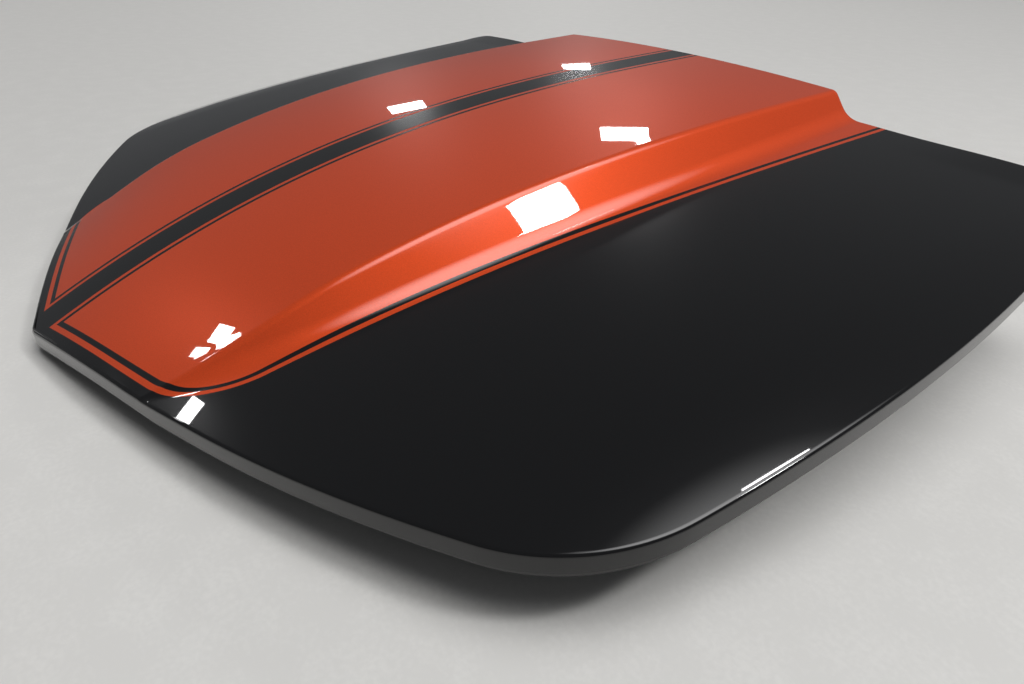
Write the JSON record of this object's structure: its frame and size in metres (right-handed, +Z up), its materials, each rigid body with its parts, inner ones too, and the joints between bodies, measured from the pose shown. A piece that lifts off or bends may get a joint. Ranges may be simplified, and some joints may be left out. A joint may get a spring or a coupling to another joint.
{
  "type": "car bonnet",
  "caption": "Steel bonnet of a muscle car with a raised centre bulge, two painted stripes, inner frame, hinges, gas struts, striker and seals.",
  "frame": {"origin": "Centre of the four bolt holes of the two hinge bases, on the underside of their flanges.", "axes": "+Z up, the nose of the bonnet points to -Y, the car's left side is +X. The bonnet is closed at rest."},
  "size_m": [1.6381, 1.2152, 0.283],
  "materials": {
    "body_paint": "gloss black with two orange metallic stripes, under clear coat",
    "inner_paint": "satin black",
    "pad_cloth": "dark pressed fleece",
    "seal_rubber": "matte sponge rubber",
    "stop_rubber": "moulded rubber",
    "plated_steel": "zinc plated",
    "hinge_paint": "semi-gloss black",
    "strut_paint": "gloss black",
    "rod_chrome": "hard chrome"
  },
  "bodies": {
    "body_side": {"hinge_base_left": "hinge_paint", "hinge_pin_left": "plated_steel", "base_stud_left": "plated_steel", "hinge_base_right": "hinge_paint", "hinge_pin_right": "plated_steel", "base_stud_right": "plated_steel"},
    "bonnet": {"outer_skin": "body_paint", "inner_frame": "inner_paint", "insulation_pad": "pad_cloth", "front_seal": "seal_rubber", "cowl_seal": "seal_rubber", "bump_stops": "stop_rubber", "latch_plate": "plated_steel", "striker": "plated_steel", "safety_catch": "plated_steel", "hinge_arm_left": "hinge_paint", "strut_bracket_left": "hinge_paint", "hinge_arm_right": "hinge_paint", "strut_bracket_right": "hinge_paint"},
    "tube_left": {"strut_tube_left": "strut_paint"},
    "rod_left": {"strut_rod_left": "rod_chrome"},
    "tube_right": {"strut_tube_right": "strut_paint"},
    "rod_right": {"strut_rod_right": "rod_chrome"}
  },
  "joints": [
    {"name": "bonnet_hinge", "type": "hinge", "parent": "body_side", "child": "bonnet", "pos_m": [0, 0.03, 0.05], "axis": [-1, 0, 0], "range_deg": [0, 48]},
    {"name": "strut_pivot_left", "type": "hinge", "parent": "bonnet", "child": "tube_left", "pos_m": [0.68, -0.28, 0.027], "axis": [1, 0, 0], "range_deg": [0, 2.4]},
    {"name": "rod_slide_left", "type": "slide", "parent": "tube_left", "child": "rod_left", "axis": [0, 0.9875, -0.1578], "range_m": [0, 0.058]},
    {"name": "strut_pivot_right", "type": "hinge", "parent": "bonnet", "child": "tube_right", "pos_m": [-0.68, -0.28, 0.027], "axis": [1, 0, 0], "range_deg": [0, 2.4]},
    {"name": "rod_slide_right", "type": "slide", "parent": "tube_right", "child": "rod_right", "axis": [0, 0.9875, -0.1578], "range_m": [0, 0.058]}
  ],
  "couplings": [
    {"joint": "strut_pivot_left", "follows": "bonnet_hinge", "ratio": 0.0493},
    {"joint": "rod_slide_left", "follows": "bonnet_hinge", "m_per_rad": 0.06842},
    {"joint": "strut_pivot_right", "follows": "bonnet_hinge", "ratio": 0.0493},
    {"joint": "rod_slide_right", "follows": "bonnet_hinge", "m_per_rad": 0.06842}
  ]
}
